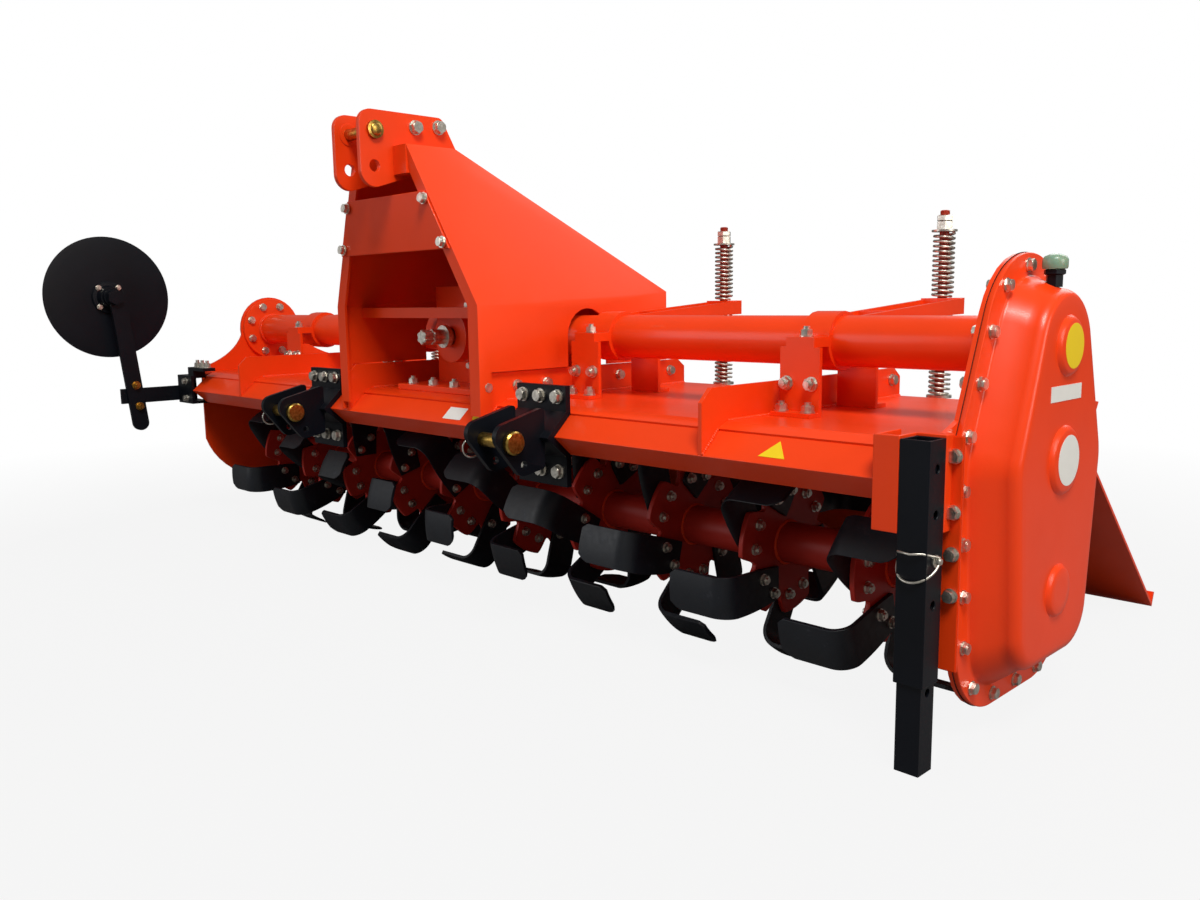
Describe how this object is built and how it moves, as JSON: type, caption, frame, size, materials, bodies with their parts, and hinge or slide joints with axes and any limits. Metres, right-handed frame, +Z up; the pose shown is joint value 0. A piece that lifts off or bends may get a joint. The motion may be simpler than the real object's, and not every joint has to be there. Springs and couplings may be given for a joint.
{
  "type": "rotary tiller",
  "caption": "Tractor-mounted rotary tiller: bladed rotor under a deck, side gear case, three-point mast, sprung trailing board, stand leg and disc coulter.",
  "frame": {"origin": "on the ground, under the centre of the bounding box", "axes": "+X towards the gear case end, -Y towards the tractor, +Z up"},
  "size_m": [2.7272, 1.4716, 1.1],
  "materials": {
    "orange_enamel": "glossy orange-red enamel on steel",
    "red_enamel": "thin red-orange enamel on steel",
    "black_enamel": "satin black enamel on steel",
    "blade_steel": "dipped black paint on hardened steel",
    "zinc_steel": "zinc-plated steel",
    "yellow_zinc": "yellow passivated zinc plate on steel",
    "breather_plastic": "translucent green plastic cap"
  },
  "bodies": {
    "frame": {"deck": "orange_enamel", "front_beam": "orange_enamel", "side_plate_right": "orange_enamel", "side_plate_left": "orange_enamel", "gear_case_cover": "orange_enamel", "gear_case_breather": "breather_plastic", "main_tube_right": "orange_enamel", "main_tube_left": "orange_enamel", "tube_saddle_inner_right": "orange_enamel", "tube_saddle_inner_left": "orange_enamel", "tube_saddle_outer_right": "orange_enamel", "tube_saddle_outer_left": "orange_enamel", "gearbox": "orange_enamel", "hood": "orange_enamel", "top_link_plate_right": "orange_enamel", "top_link_plate_left": "orange_enamel", "top_link_pin": "yellow_zinc", "hood_front_plate": "orange_enamel", "hitch_bracket_right": "black_enamel", "hitch_bracket_left": "black_enamel", "hitch_pin_right": "yellow_zinc", "hitch_pin_left": "yellow_zinc", "stand_sleeve": "black_enamel", "stand_bracket": "orange_enamel", "stand_pin": "zinc_steel", "coulter_bracket": "black_enamel", "coulter_arm": "black_enamel", "coulter_axle": "zinc_steel", "lower_spring_1": "zinc_steel", "lower_spring_2": "zinc_steel", "lower_spring_3": "zinc_steel", "lower_spring_4": "zinc_steel"},
    "rotor": {"rotor_tube": "red_enamel", "rotor_gang_01": "blade_steel", "rotor_gang_02": "blade_steel", "rotor_gang_03": "blade_steel", "rotor_gang_04": "blade_steel", "rotor_gang_05": "blade_steel", "rotor_gang_06": "blade_steel", "rotor_gang_07": "blade_steel", "rotor_gang_08": "blade_steel", "rotor_gang_09": "blade_steel", "rotor_gang_10": "blade_steel"},
    "input_shaft": {"pto_shaft": "zinc_steel"},
    "coulter": {"coulter_disc": "black_enamel"},
    "board": {"trailing_board": "orange_enamel"},
    "leg": {"stand_leg": "black_enamel"},
    "rod_1": {"board_rod_1": "zinc_steel", "upper_spring_1": "zinc_steel"},
    "rod_2": {"board_rod_2": "zinc_steel", "upper_spring_2": "zinc_steel"},
    "rod_3": {"board_rod_3": "zinc_steel", "upper_spring_3": "zinc_steel"},
    "rod_4": {"board_rod_4": "zinc_steel", "upper_spring_4": "zinc_steel"}
  },
  "joints": [
    {"name": "rotor_spin", "type": "hinge", "parent": "frame", "child": "rotor", "pos_m": [0.00435, -0.08082, 0.228], "axis": [1, 0, 0], "continuous": true},
    {"name": "input_shaft_spin", "type": "hinge", "parent": "frame", "child": "input_shaft", "pos_m": [0.00435, -0.20182, 0.616], "axis": [0, 1, 0], "continuous": true},
    {"name": "coulter_spin", "type": "hinge", "parent": "frame", "child": "coulter", "pos_m": [-1.34965, -0.55182, 0.725], "axis": [1, 0, 0], "continuous": true},
    {"name": "board_swing", "type": "hinge", "parent": "frame", "child": "board", "pos_m": [0.00435, 0.30618, 0.468], "axis": [1, 0, 0], "range_deg": [0, 45], "stiffness_Nm_per_rad": 480, "springref_deg": -24.06},
    {"name": "leg_slide", "type": "slide", "parent": "frame", "child": "leg", "axis": [0, 0, 1], "range_m": [0, 0.3]},
    {"name": "rod_1_slide", "type": "slide", "parent": "frame", "child": "rod_1", "axis": [0, 0, 1], "range_m": [0, 0.0705], "deforming": ["lower_spring_1"]},
    {"name": "rod_2_slide", "type": "slide", "parent": "frame", "child": "rod_2", "axis": [0, 0, 1], "range_m": [0, 0.0705], "deforming": ["lower_spring_2"]},
    {"name": "rod_3_slide", "type": "slide", "parent": "frame", "child": "rod_3", "axis": [0, 0, 1], "range_m": [0, 0.0705], "deforming": ["lower_spring_3"]},
    {"name": "rod_4_slide", "type": "slide", "parent": "frame", "child": "rod_4", "axis": [0, 0, 1], "range_m": [0, 0.0705], "deforming": ["lower_spring_4"]}
  ],
  "couplings": [
    {"joint": "input_shaft_spin", "follows": "rotor_spin", "ratio": -2.45},
    {"joint": "rod_1_slide", "follows": "board_swing", "m_per_rad": 0.08913},
    {"joint": "rod_2_slide", "follows": "board_swing", "m_per_rad": 0.08913},
    {"joint": "rod_3_slide", "follows": "board_swing", "m_per_rad": 0.08913},
    {"joint": "rod_4_slide", "follows": "board_swing", "m_per_rad": 0.08913}
  ]
}
